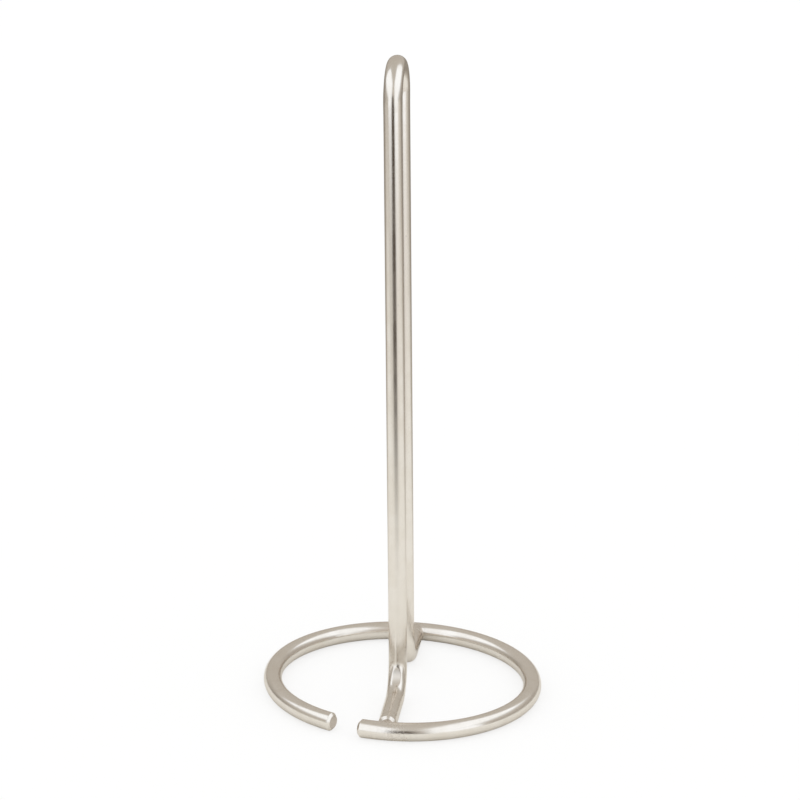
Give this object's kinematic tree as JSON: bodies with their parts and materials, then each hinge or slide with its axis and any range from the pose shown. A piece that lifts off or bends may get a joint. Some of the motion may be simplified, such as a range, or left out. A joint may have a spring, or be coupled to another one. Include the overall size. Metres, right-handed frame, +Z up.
{
  "type": "paper towel holder",
  "caption": "Free-standing kitchen roll holder of bent satin nickel rod: a tall upright loop welded across an open base ring.",
  "frame": {"origin": "table level, at the centre of the base ring", "axes": "+Z up; the upright loop's front foot runs towards -Y and its rear foot towards +Y; the ring's gap is at the front, on the -X side of the front foot"},
  "size_m": [0.1386, 0.1386, 0.3189],
  "materials": {
    "satin_nickel": "satin nickel plate, faint polish lines along the rod",
    "plated_weld": "plated weld metal, slightly uneven and darker"
  },
  "bodies": {
    "root": {"upright_loop": "satin_nickel", "base_ring": "satin_nickel", "front_weld": "plated_weld", "rear_weld": "plated_weld"}
  },
  "joints": []
}
